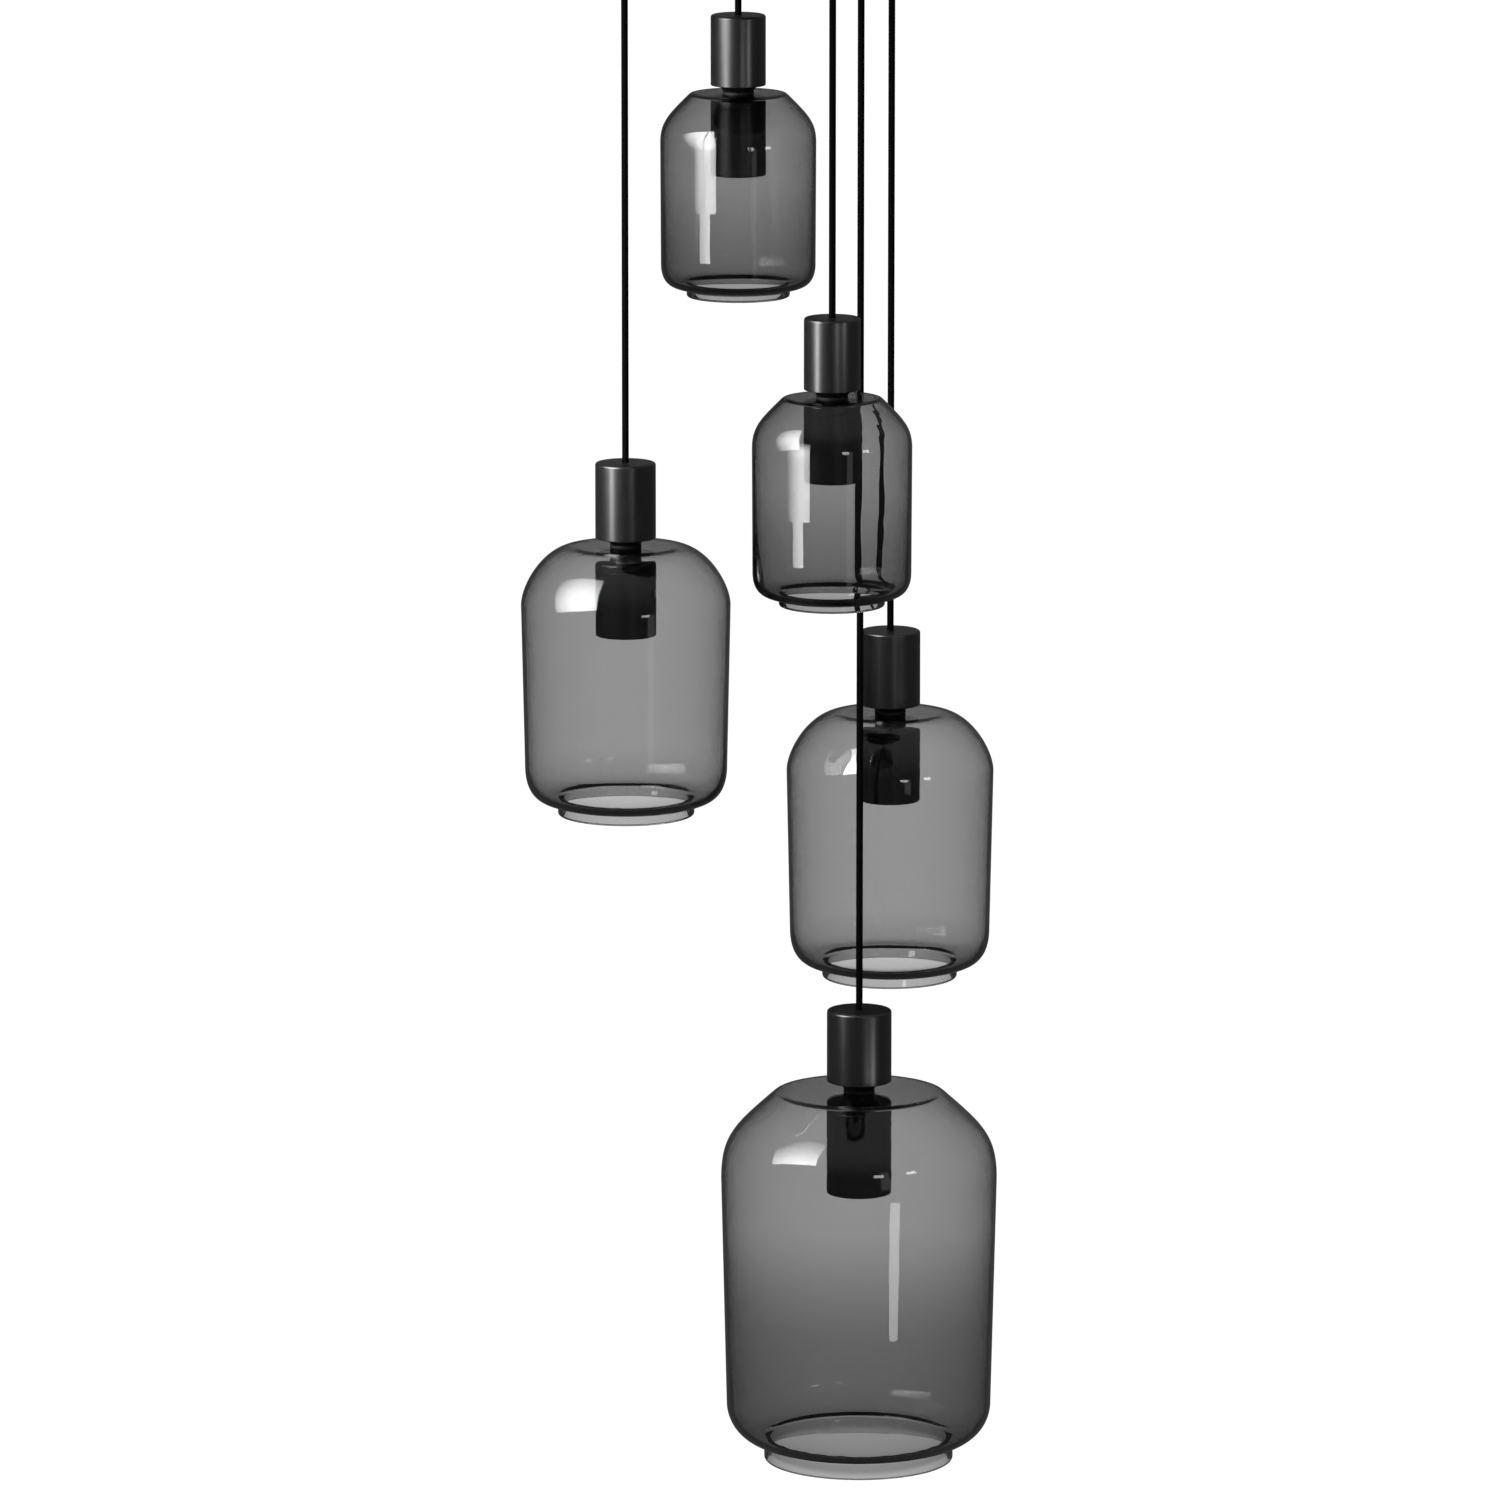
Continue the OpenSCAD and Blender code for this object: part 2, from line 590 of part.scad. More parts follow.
// Hollow stem, neck and cup turned in one piece
module socket_cup(n) color(black_metal) at_lamp(n) {
    r = cap_r(n);
    stem_top = cap_gap(n) + ring_gap + clamp_ring_h + 2;
    groove_z = cup_z(n) - groove_drop;
    turned(concat(
        [[stem_bore_r, cup_deck_z(n)], [stem_bore_r, stem_top], [stem_r - 0.7, stem_top], [stem_r, stem_top - 0.7],
            [stem_r, -glass_t - gasket_t], [neck_r, -glass_t - gasket_t], [neck_r, cup_z(n)]],
        arc([r - cap_edge_r, cup_z(n) - cap_edge_r], cap_edge_r, 90, 0),
        [[r, groove_z + 0.6], [r - 0.5, groove_z], [r, groove_z - 0.6], [r, cup_rim_z(n) + 0.6],
            [r - 0.6, cup_rim_z(n)], [r - cap_wall, cup_rim_z(n)], [r - cap_wall, cup_deck_z(n)]]
    ));
}

// Lampholder on its collar, with the three cores that feed it
module lampholder(n) color(dark_phenolic) at_lamp(n) {
    r = holder_d / 2;
    seat_r = shell_r + shell_t + thread_clear;
    collar_r = stem_bore_r + 2;
    top = holder_top_z(n);
    plug = plug_z(n);
    end = holder_end_z(n);
    turned([
        [0, plug + contact_room_h], [0, cup_deck_z(n)], [collar_r, cup_deck_z(n)], [collar_r, top], [r - 5, top],
        [r - 1, top - 4], [r, top - 8], [r, plug], [r - 1.5, plug - 1], [r - 1.5, end + 8], [r, end + 8],
        [r, end + 5], [r - 1.5, end + 5], [r - 1.5, end + 1], [r - 2.5, end], [seat_r + 1.5, end],
        [seat_r, end + 4], [seat_r, plug], [contact_room_r, plug], [contact_room_r, plug + contact_room_h]
    ]);
    for (k = [0:2]) rotate(120 * k) translate([core_ring_r, 0, cup_deck_z(n) - 1])
        cylinder(r = core_r, h = sheath_end_z(n) - cup_deck_z(n) + 1);
}

// Brass thread shell and centre contact of the lampholder
module lamp_contacts(n) color(brass) at_lamp(n) translate([0, 0, plug_z(n)]) {
    turned([[shell_r, -shell_l], [shell_r + shell_t, -shell_l], [shell_r + shell_t, 0], [shell_r, 0]]);
    translate([0, 0, contact_room_h])
        turned([[0, 0], [2, 0], [2, -2], [5, -2], [5.5, -2.4], [5, -3], [2, -3.6], [0, -3.8]]);
}

canopy();
ceiling_bracket();
canopy_screws();
canopy_cord_grips();
grip_nuts();
terminal_block();
block_screws();
inner_leads();
earth_screw();
for (n = LAMPS) {
    cord_root(n);
    cord(n);
    cord_clamp(n);
    top_cap(n);
    clamp_ring(n);
    glass_gaskets(n);
    glass_shade(n);
    socket_cup(n);
    lampholder(n);
    lamp_contacts(n);
}
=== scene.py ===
import bmesh
import bpy
from math import cos, pi, radians, sin
from mathutils import Matrix, Vector
from mathutils.geometry import interpolate_bezier


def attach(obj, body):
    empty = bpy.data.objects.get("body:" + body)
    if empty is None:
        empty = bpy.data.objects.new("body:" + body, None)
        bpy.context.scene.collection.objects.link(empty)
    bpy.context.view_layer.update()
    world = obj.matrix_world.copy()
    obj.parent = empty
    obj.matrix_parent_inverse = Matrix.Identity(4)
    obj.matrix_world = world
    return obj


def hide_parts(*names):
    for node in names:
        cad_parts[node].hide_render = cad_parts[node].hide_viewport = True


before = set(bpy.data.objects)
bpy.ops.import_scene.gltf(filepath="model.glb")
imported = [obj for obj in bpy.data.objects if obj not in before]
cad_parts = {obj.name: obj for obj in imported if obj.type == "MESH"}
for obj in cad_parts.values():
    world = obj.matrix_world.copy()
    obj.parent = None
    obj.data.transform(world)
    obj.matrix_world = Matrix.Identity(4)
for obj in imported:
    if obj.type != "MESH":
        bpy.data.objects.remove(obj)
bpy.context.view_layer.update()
mm = 0.001
scene = bpy.context.scene
scene.view_settings.view_transform = "Standard"
print("frame loaded:", len(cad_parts), "nodes")

# Five lamps: where each cord leaves the canopy, its cord from grip to cap, and its shade size. All in millimetres.
lamps = {
    1: {"outlet": (-52, 151), "cord": 107, "size": "small"},
    2: {"outlet": (36, -171), "cord": 354, "size": "small"},
    3: {"outlet": (-159.5, 28), "cord": 522, "size": "medium"},
    4: {"outlet": (95, 130), "cord": 702, "size": "medium"},
    5: {"outlet": (64, -25), "cord": 1044, "size": "large"},
}
caps = {
    "small": {"radius": 26.5, "height": 68, "gap": 7.5},
    "medium": {"radius": 29, "height": 73, "gap": 7.5},
    "large": {"radius": 31, "height": 70, "gap": 10},
}
gripMouth = -54
for lamp in lamps.values():
    cap = caps[lamp["size"]]
    lamp["z"] = gripMouth - lamp["cord"] - cap["height"] - cap["gap"]  # height of the glass's flat top
    lamp["centre"] = (*lamp["outlet"], lamp["z"])

# Camera, from the photograph's ellipses: metres, degrees above the horizon, and millimetres of lens and sensor
camera = {"target": Vector((-0.0407, 0, -0.85)), "distance": 10, "rise": 10.5, "lens": 251, "sensor": 36, "sees": 200}
cameraData = bpy.data.cameras.new("camera")
cameraData.lens = camera["lens"]
cameraData.sensor_width = camera["sensor"]
cameraData.clip_end = camera["sees"]
cameraObject = bpy.data.objects.new("camera", cameraData)
scene.collection.objects.link(cameraObject)
rise = radians(camera["rise"])
cameraObject.location = camera["target"] + camera["distance"] * Vector((0, -cos(rise), sin(rise)))
cameraObject.rotation_euler = (pi / 2 - rise, 0, 0)
scene.camera = cameraObject
print("camera placed")


# Shader helpers
def addNode(tree, kind, inputs=None, **settings):
    node = tree.nodes.new("ShaderNode" + kind)
    for name, value in settings.items():
        setattr(node, name, value)
    for name, value in (inputs or {}).items():
        if isinstance(value, bpy.types.NodeSocket):
            tree.links.new(value, node.inputs[name])
        else:
            node.inputs[name].default_value = value
    return node


def calc(tree, operation, *values):
    return addNode(tree, "Math", dict(enumerate(values)), operation=operation).outputs["Value"]


def lookedThrough(tree):
    # 1 for a ray that comes straight through glass, with no reflection on its way
    path = addNode(tree, "LightPath").outputs
    return calc(tree, "MULTIPLY", path["Is Transmission Ray"], calc(tree, "LESS_THAN", path["Glossy Depth"], 0.5))


def newFinish(name, **sockets):
    made = bpy.data.materials.new(name)
    made.use_nodes = True
    shader = made.node_tree.nodes["Principled BSDF"]
    for socket, value in sockets.items():
        shader.inputs[socket.replace("_", " ")].default_value = value
    return made, made.node_tree, shader


def grain(tree, size, detail=3, stretch=(1, 1, 1)):
    # noise whose grains are about size millimetres across
    spot = addNode(tree, "TexCoord").outputs["Object"]
    spot = addNode(tree, "Mapping", {"Vector": spot, "Scale": stretch}).outputs["Vector"]
    noise = addNode(tree, "TexNoise", {"Vector": spot, "Scale": 1 / (size * mm), "Detail": detail, "Roughness": 0.6})
    return noise.outputs["Fac"]


def spread(tree, fac, low, high, fromLow=0.3, fromHigh=0.7):
    inputs = {"Value": fac, "From Min": fromLow, "From Max": fromHigh, "To Min": low, "To Max": high}
    return addNode(tree, "MapRange", inputs).outputs["Result"]


def between(tree, fac, first, second):
    ramp = addNode(tree, "ValToRGB", {"Fac": fac})
    ramp.color_ramp.elements[0].position = 0.3
    ramp.color_ramp.elements[0].color = (*first, 1)
    ramp.color_ramp.elements[1].position = 0.7
    ramp.color_ramp.elements[1].color = (*second, 1)
    return ramp.outputs["Color"]


def bump(tree, shader, height, depth, strength=1.0):
    # depth in millimetres
    inputs = {"Height": height, "Distance": depth * mm, "Strength": strength}
    tree.links.new(addNode(tree, "Bump", inputs).outputs["Normal"], shader.inputs["Normal"])


def coated(name, dark, light, grainSize, grainDepth, rough, **sockets):
    # painted, coated or moulded surface: mottled colour, uneven gloss and a fine grain
    made, tree, shader = newFinish(name, **sockets)
    cloud = grain(tree, 9, 4)
    fine = grain(tree, grainSize, 2)
    tree.links.new(between(tree, cloud, dark, light), shader.inputs["Base Color"])
    tree.links.new(spread(tree, cloud, *rough), shader.inputs["Roughness"])
    bump(tree, shader, fine, grainDepth)
    return made


# Finishes
smoke = {
    "surface": (0.95, 0.95, 0.952, 1), "body": (0.03, 0.03, 0.032, 1), "ior": 1.5,
    "density": {"small": 233, "medium": 179, "large": 189},
    "ripple": {"size": 24, "stretch": (1, 1, 0.2), "depth": 0.25, "strength": 0.7},
}


def smokedGlass(size):
    made, tree, shader = newFinish(
        "smokedGlass_" + size, Base_Color=smoke["surface"], Roughness=0.0, IOR=smoke["ior"], Transmission_Weight=1.0,
    )
    # soft upright ripples of blown glass
    ripple = smoke["ripple"]
    bump(tree, shader, grain(tree, ripple["size"], 2, ripple["stretch"]), ripple["depth"], ripple["strength"])
    volume = addNode(tree, "VolumeAbsorption", {"Color": smoke["body"], "Density": smoke["density"][size]})
    tree.links.new(volume.outputs["Volume"], tree.nodes["Material Output"].inputs["Volume"])
    return made


braid = {
    "yarns": 8.0, "pitch": 2.6, "fibre": 0.5, "fuzz": 0.25, "depth": 0.35, "roughness": 0.75,
    "dark": (0.001, 0.001, 0.001), "light": (0.003, 0.003, 0.0031),
}


def braidedCord():
    made, tree, shader = newFinish("blackBraid", Specular_IOR_Level=0.04, Roughness=braid["roughness"])
    uv = addNode(tree, "SeparateXYZ", {"Vector": addNode(tree, "UVMap", uv_map="UVMap").outputs["UV"]})
    around = calc(tree, "MULTIPLY", uv.outputs["X"], braid["yarns"])
    along = calc(tree, "MULTIPLY", uv.outputs["Y"], 1 / (braid["pitch"] * mm))
    right, left = calc(tree, "ADD", around, along), calc(tree, "SUBTRACT", around, along)
    # yarns of the two directions pass over each other in turn
    turn = calc(tree, "MODULO", calc(tree, "ADD", calc(tree, "FLOOR", right), calc(tree, "FLOOR", left)), 2.0)
    turn = calc(tree, "ABSOLUTE", turn)
    overRight = calc(tree, "SINE", calc(tree, "MULTIPLY", calc(tree, "FRACT", right), pi))
    overLeft = calc(tree, "SINE", calc(tree, "MULTIPLY", calc(tree, "FRACT", left), pi))
    yarn = addNode(tree, "Mix", {"Factor": turn, "A": overRight, "B": overLeft}).outputs["Result"]
    fibre = grain(tree, braid["fibre"], 2)
    height = calc(tree, "ADD", yarn, calc(tree, "MULTIPLY", fibre, braid["fuzz"]))
    # the colour follows the yarns' height: painted shade where the yarns dip between each other, plus the fibres' own
    # texture
    tree.links.new(between(tree, height, braid["dark"], braid["light"]), shader.inputs["Base Color"])
    bump(tree, shader, height, braid["depth"])
    return made


def metal(name, dark, light, cloud, gloss, rough, grainSize, stretch=(1, 1, 1)):
    # bare or plated metal: clouded colour, uneven gloss and a very fine grain
    made, tree, shader = newFinish(name, Metallic=1.0)
    tree.links.new(between(tree, grain(tree, cloud), dark, light), shader.inputs["Base Color"])
    tree.links.new(spread(tree, grain(tree, gloss), *rough), shader.inputs["Roughness"])
    bump(tree, shader, grain(tree, grainSize, 2, stretch), 0.02)
    return made


def galvanised():
    # zinc spangles a few millimetres across
    made, tree, shader = newFinish("galvanisedSteel", Metallic=1.0)
    spot = addNode(tree, "TexCoord").outputs["Object"]
    spangle = addNode(tree, "TexVoronoi", {"Vector": spot, "Scale": 140.0, "Randomness": 1.0})
    shade = addNode(tree, "SeparateXYZ", {"Vector": spangle.outputs["Color"]}).outputs["X"]
    tree.links.new(between(tree, shade, (0.42, 0.43, 0.45), (0.60, 0.61, 0.62)), shader.inputs["Base Color"])
    tree.links.new(spread(tree, shade, 0.32, 0.5, 0, 1), shader.inputs["Roughness"])
    bump(tree, shader, grain(tree, 1.5), 0.03)
    return made


finishes = {
    "lampBlack": coated(
        "lampBlack", (0.003, 0.003, 0.0031), (0.0042, 0.0042, 0.0043), 1.2, 0.0005, (0.28, 0.31),
        Specular_IOR_Level=1.0,
    ),
    "canopyBlack": coated("canopyBlack", (0.009, 0.009, 0.0094), (0.013, 0.013, 0.0134), 0.7, 0.05, (0.4, 0.52)),
    "gripBlack": coated("gripBlack", (0.008, 0.008, 0.0085), (0.012, 0.012, 0.0125), 0.4, 0.02, (0.28, 0.4)),
    "nylon": coated(
        "whiteNylon", (0.70, 0.69, 0.65), (0.80, 0.79, 0.75), 1.2, 0.03, (0.42, 0.55), Subsurface_Weight=0.1,
    ),
    "phenolic": coated("darkPhenolic", (0.016, 0.013, 0.011), (0.026, 0.021, 0.018), 0.8, 0.04, (0.38, 0.5)),
    "silicone": coated("blackSilicone", (0.010, 0.010, 0.010), (0.017, 0.017, 0.017), 0.5, 0.03, (0.6, 0.75)),
    "braid": braidedCord(),
    "brass": metal("brass", (0.55, 0.36, 0.12), (0.72, 0.52, 0.22), 6, 2.5, (0.18, 0.34), 0.8, (1, 1, 6)),
    "galvanised": galvanised(),
    "plated": metal("platedSteel", (0.48, 0.48, 0.49), (0.62, 0.62, 0.62), 5, 2, (0.2, 0.36), 0.6),
    "small": smokedGlass("small"),
    "medium": smokedGlass("medium"),
    "large": smokedGlass("large"),
}
print("finishes made:", len(finishes))


# Mesh helpers
def finishPiece(name, bm, finish, body, replaced, sharp=38):
    bmesh.ops.remove_doubles(bm, verts=bm.verts, dist=0.002 * mm)
    bmesh.ops.recalc_face_normals(bm, faces=bm.faces)
    for face in bm.faces:
        face.smooth = True
    mesh = bpy.data.meshes.new(name)
    bm.to_mesh(mesh)
    bm.free()
    mesh.set_sharp_from_angle(angle=radians(sharp))
    mesh.materials.append(finishes[finish])
    piece = bpy.data.objects.new(name, mesh)
    scene.collection.objects.link(piece)
    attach(piece, body)
    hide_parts(*replaced)
    return piece


def turnOutline(bm, outline, centre, steps=128, closed=True):
    # outline of (radius, height) points, turned round the upright line through centre
    x, y, z = centre
    verts = [bm.verts.new(((x + r) * mm, y * mm, (z + h) * mm)) for r, h in outline]
    edges = [bm.edges.new(pair) for pair in zip(verts, verts[1:])]
    if closed:
        edges.append(bm.edges.new((verts[-1], verts[0])))
    bmesh.ops.spin(
        bm, geom=verts + edges, cent=(x * mm, y * mm, 0), axis=(0, 0, 1), dvec=(0, 0, 0),
        angle=2 * pi, steps=steps, use_merge=True,
    )


def arc(centre, radius, start, end, steps=8):
    angles = [radians(start + (end - start) * i / steps) for i in range(steps + 1)]
    return [(centre[0] + radius * cos(a), centre[1] + radius * sin(a)) for a in angles]


def bezier(points, count):
    return [p.to_2d() for p in interpolate_bezier(*(Vector((*p, 0)) for p in points), count)]


def tube(bm, path, radius, sides=20):
    # ring by ring along the path, with a UV map that runs round it and, in metres, along it
    uvLayer = bm.loops.layers.uv.new("UVMap")
    directions = [(b - a).normalized() for a, b in zip(path, path[1:])]
    bends = [(a + b).normalized() for a, b in zip(directions, directions[1:])]
    directions = [directions[0]] + bends + [directions[-1]]
    turn = directions[0].to_track_quat("Z", "Y")
    rings, along = [], 0
    for i, point in enumerate(path):
        if i:
            turn = directions[i - 1].rotation_difference(directions[i]) @ turn
            along += (point - path[i - 1]).length
        rings.append((Matrix.Translation(point) @ turn.to_matrix().to_4x4(), along))
    bmesh.ops.create_circle(bm, cap_ends=False, radius=radius, segments=sides, matrix=rings[0][0])
    edges = list(bm.edges)
    level = {vert: 0 for vert in bm.verts}
    for i in range(1, len(rings)):
        made = bmesh.ops.extrude_edge_only(bm, edges=edges)["geom"]
        verts = [e for e in made if isinstance(e, bmesh.types.BMVert)]
        edges = [e for e in made if isinstance(e, bmesh.types.BMEdge) and all(v in verts for v in e.verts)]
        bmesh.ops.transform(bm, matrix=rings[i][0] @ rings[i - 1][0].inverted(), verts=verts)
        level.update({vert: i for vert in verts})
    for face in bm.faces:
        spots = []
        for loop in face.loops:
            place, along = rings[level[loop.vert]]
            local = place.inverted() @ loop.vert.co
            spots.append([(Vector(local.xy).angle_signed(Vector((1, 0))) / (2 * pi)) % 1, along])
        if max(s[0] for s in spots) - min(s[0] for s in spots) > 0.5:
            spots = [[u + 1 if u < 0.5 else u, v] for u, v in spots]
        for loop, spot in zip(face.loops, spots):
            loop[uvLayer].uv = spot
    for end in [[v for v in bm.verts if level[v] == i] for i in (0, len(rings) - 1)]:
        bmesh.ops.contextual_create(bm, geom=end)


def line(first, last, count):
    return [first.lerp(last, i / (count - 1)) for i in range(count)]


# Cords
cord = {"radius": 3.25, "inCap": 30, "start": -53.4, "rootLow": -52.6, "rootHigh": -48.6}
for n, lamp in lamps.items():
    x, y = lamp["outlet"]
    cap = caps[lamp["size"]]
    low = lamp["z"] + cap["gap"] + cap["height"] - cord["inCap"]
    top, bottom = Vector((x, y, cord["start"])) * mm, Vector((x, y, low)) * mm
    path = line(top, bottom, 18 + 4 * n)
    bm = bmesh.new()
    tube(bm, path, cord["radius"] * mm)
    piece = finishPiece(f"hangingCord_{n}", bm, "braid", f"pendant_{n}", [f"cord_{n}"])
    bm = bmesh.new()
    rootPath = line(Vector((x, y, cord["rootLow"])) * mm, Vector((x, y, cord["rootHigh"])) * mm, 4)
    tube(bm, rootPath, cord["radius"] * mm)
    finishPiece(f"cordEnd_{n}", bm, "braid", f"cord_swivel_{n}", [f"cord_root_{n}"])

# Leads from the grips to the terminal block: (x, side) of each entry, how far each goes in and how straight it leaves
leads = {
    "entries": {1: (14, 1), 2: (6, -1), 3: (-4, 1), 4: (32, 1), 5: (30, -1)},
    "gripTop": -25, "gripInside": -47.9, "blockZ": -9.5, "blockHalf": 12, "inside": 5.5, "outside": 3.5,
}
for n, lamp in lamps.items():
    entryX, side = leads["entries"][n]
    entry = Vector((entryX, side * (leads["blockHalf"] - leads["inside"]), leads["blockZ"]))
    outside = entry + Vector((0, side * (leads["inside"] + leads["outside"]), 0))
    start = Vector((*lamp["outlet"], leads["gripInside"]))
    top = Vector((*lamp["outlet"], leads["gripTop"]))
    pull = Vector((0, side * (top - outside).length / 3, 0))
    up = Vector((0, 0, leads["blockZ"] - leads["gripTop"]))
    sweep = interpolate_bezier(top, top + up, outside + pull, outside, 30)
    path = [p * mm for p in line(start, top, 5)[:-1] + sweep[:-1] + line(outside, entry, 4)]
    bm = bmesh.new()
    tube(bm, path, cord["radius"] * mm, 16)
    piece = finishPiece(f"lead_{n}", bm, "braid", "ceiling_mount", ["inner_leads"])
print("cords and leads made")

# Shades, from the outline that the photograph shows
shades = {
    "small": {
        "radius": 75, "height": 197, "flat": 46, "shoulder": 47.5, "foot": 74.5, "footHeight": 24, "mouth": 49.75,
        "collar": 8, "thickFrom": 90, "fall": 45, "bend": 5, "shoulderFull": (0.46, 0.33), "footFull": (1, 0.35),
    },
    "medium": {
        "radius": 100.3, "height": 261, "flat": 47.5, "shoulder": 57, "foot": 97, "footHeight": 37, "mouth": 65.5,
        "collar": 11, "thickFrom": 213, "fall": 0, "bend": 2, "shoulderFull": (0.37, 0.24), "footFull": (0.8, 0.55),
    },
    "large": {
        "radius": 132.5, "height": 362, "flat": 80, "shoulder": 85, "foot": 127.25, "footHeight": 39, "mouth": 91,
        "collar": 17.5, "thickFrom": 150, "fall": 42, "bend": 9, "shoulderFull": (0.47, 0.38), "footFull": (0.6, 0.5),
    },
}
glass = {"wall": 3, "mouthWall": 4.6, "hole": 10.3, "collarFillet": 2}


def shadeOutside(shade):
    # flat, shoulder, side, foot and fillet, from the hole down to the collar
    fall = radians(shade["fall"])
    down = Vector((cos(fall), -sin(fall)))
    corner = Vector((shade["flat"], 0))
    start = corner + shade["bend"] * down
    widest = Vector((shade["radius"], -shade["shoulder"]))
    full = [f * (widest - corner).length for f in shade["shoulderFull"]]
    collar = Vector((shade["mouth"], shade["collar"] - shade["height"]))
    foot = Vector((shade["foot"], collar.y + shade["footHeight"]))
    drop = shade["footFull"][0] * shade["footHeight"]
    draw = shade["footFull"][1] * (foot.x - collar.x)
    fillet = glass["collarFillet"]
    points = [Vector((glass["hole"], 0))] + [Vector((r, 0)) for r in (16, 24, 32, 40)]
    points += bezier([corner - Vector((shade["bend"], 0)), corner, corner, start], 9)
    points += bezier([start, start + full[0] * down, widest + Vector((0, full[1])), widest], 34)[1:]
    points += [widest.lerp(foot, i / 12) for i in range(1, 12)]
    curve = bezier([foot, foot - Vector((0, drop)), collar + Vector((draw, 0.5)), collar], 30)
    points += [p for p in curve if p.x > shade["mouth"] + fillet + 0.4]
    points += [Vector(p) for p in arc((shade["mouth"] + fillet, collar.y - fillet), fillet, 90, 180, 6)]
    return points


def offsetInside(points, walls):
    # the inside, at right angles to the outline everywhere
    made = []
    for i, (p, wall) in enumerate(zip(points, walls)):
        before, after = points[max(i - 1, 0)], points[min(i + 1, len(points) - 1)]
        along = (after - before).normalized()
        made.append(p + wall * Vector((along.y, -along.x)))
    return made


# pieces that some lights are kept to
lightGroups = {name: bpy.data.collections.new(name) for name in ("caps", "shade_1", "shade_2")}
for n, lamp in lamps.items():
    shade = shades[lamp["size"]]
    outer = shadeOutside(shade)
    # the wall thickens a little towards the mouth
    thickAt = shade["height"] - shade["collar"]
    depths = [min(max((-p.y - shade["thickFrom"]) / (thickAt - shade["thickFrom"]), 0), 1) for p in outer]
    inner = offsetInside(outer, [glass["wall"] + (glass["mouthWall"] - glass["wall"]) * depth for depth in depths])
    inner[0].x = glass["hole"]
    lip = glass["mouthWall"] / 2
    rim = arc((shade["mouth"] - lip, lip - shade["height"]), lip, 0, -180, 10)  # fire-polished mouth
    outline = [tuple(p) for p in outer] + rim + [tuple(p) for p in reversed(inner)]
    bm = bmesh.new()
    turnOutline(bm, outline, lamp["centre"], 144)
    piece = finishPiece(f"shade_{n}", bm, lamp["size"], f"pendant_{n}", [f"glass_shade_{n}"], 50)
    if piece.name in lightGroups:
        lightGroups[piece.name].objects.link(piece)
print("shades blown")

# Caps above the glass, and cups inside it
cupSizes = {
    "small": {"height": 73, "drop": 6},
    "medium": {"height": 72, "drop": 14.5},
    "large": {"height": 89, "drop": 10.5},
}
turned = {
    "wall": 1.8, "plate": 3, "edge": 2.5, "chamfer": 0.6, "groove": 8, "grooveDepth": 0.5,
    "stem": 10, "stemBore": 6.5, "stemRise": 11, "stemChamfer": 0.7, "neck": 15, "gasket": 1.5,
}
for n, lamp in lamps.items():
    cap, cup = caps[lamp["size"]], cupSizes[lamp["size"]]
    r, wall, plate, edge, chamfer = cap["radius"], turned["wall"], turned["plate"], turned["edge"], turned["chamfer"]
    top, low = cap["gap"] + cap["height"], cap["gap"]
    hole = cord["radius"] + 0.2
    outline = [(hole, top - plate), (hole, top - 0.4), (hole + 0.4, top)]
    outline += arc((r - edge, top - edge), edge, 90, 0)
    outline += [(r, low + chamfer), (r - chamfer, low), (r - wall, low), (r - wall, top - plate)]
    bm = bmesh.new()
    turnOutline(bm, outline, lamp["centre"], 96)
    piece = finishPiece(f"cap_{n}", bm, "lampBlack", f"pendant_{n}", [f"top_cap_{n}"])
    lightGroups["caps"].objects.link(piece)

    cupTop = -cup["drop"]
    rim = cupTop - cup["height"]
    stemTop, stemEdge = low + turned["stemRise"], turned["stemChamfer"]
    groove = cupTop - turned["groove"]
    stem, neck, bore = turned["stem"], turned["neck"], turned["stemBore"]
    seat = -glass["wall"] - turned["gasket"]
    outline = [(bore, cupTop - plate), (bore, stemTop), (stem - stemEdge, stemTop), (stem, stemTop - stemEdge)]
    outline += [(stem, seat), (neck, seat), (neck, cupTop + 1)] + arc((neck + 1, cupTop + 1), 1, 180, 270, 3)
    outline += arc((r - edge, cupTop - edge), edge, 90, 0)
    outline += [(r, groove + chamfer), (r - turned["grooveDepth"], groove), (r, groove - chamfer)]
    outline += [(r, rim + chamfer), (r - chamfer, rim)]
    outline += [(r - wall + 0.3, rim), (r - wall, rim + 0.3), (r - wall, cupTop - plate)]
    bm = bmesh.new()
    turnOutline(bm, outline, lamp["centre"], 96)
    finishPiece(f"cup_{n}", bm, "lampBlack", f"pendant_{n}", [f"socket_cup_{n}"])
print("caps and cups turned")

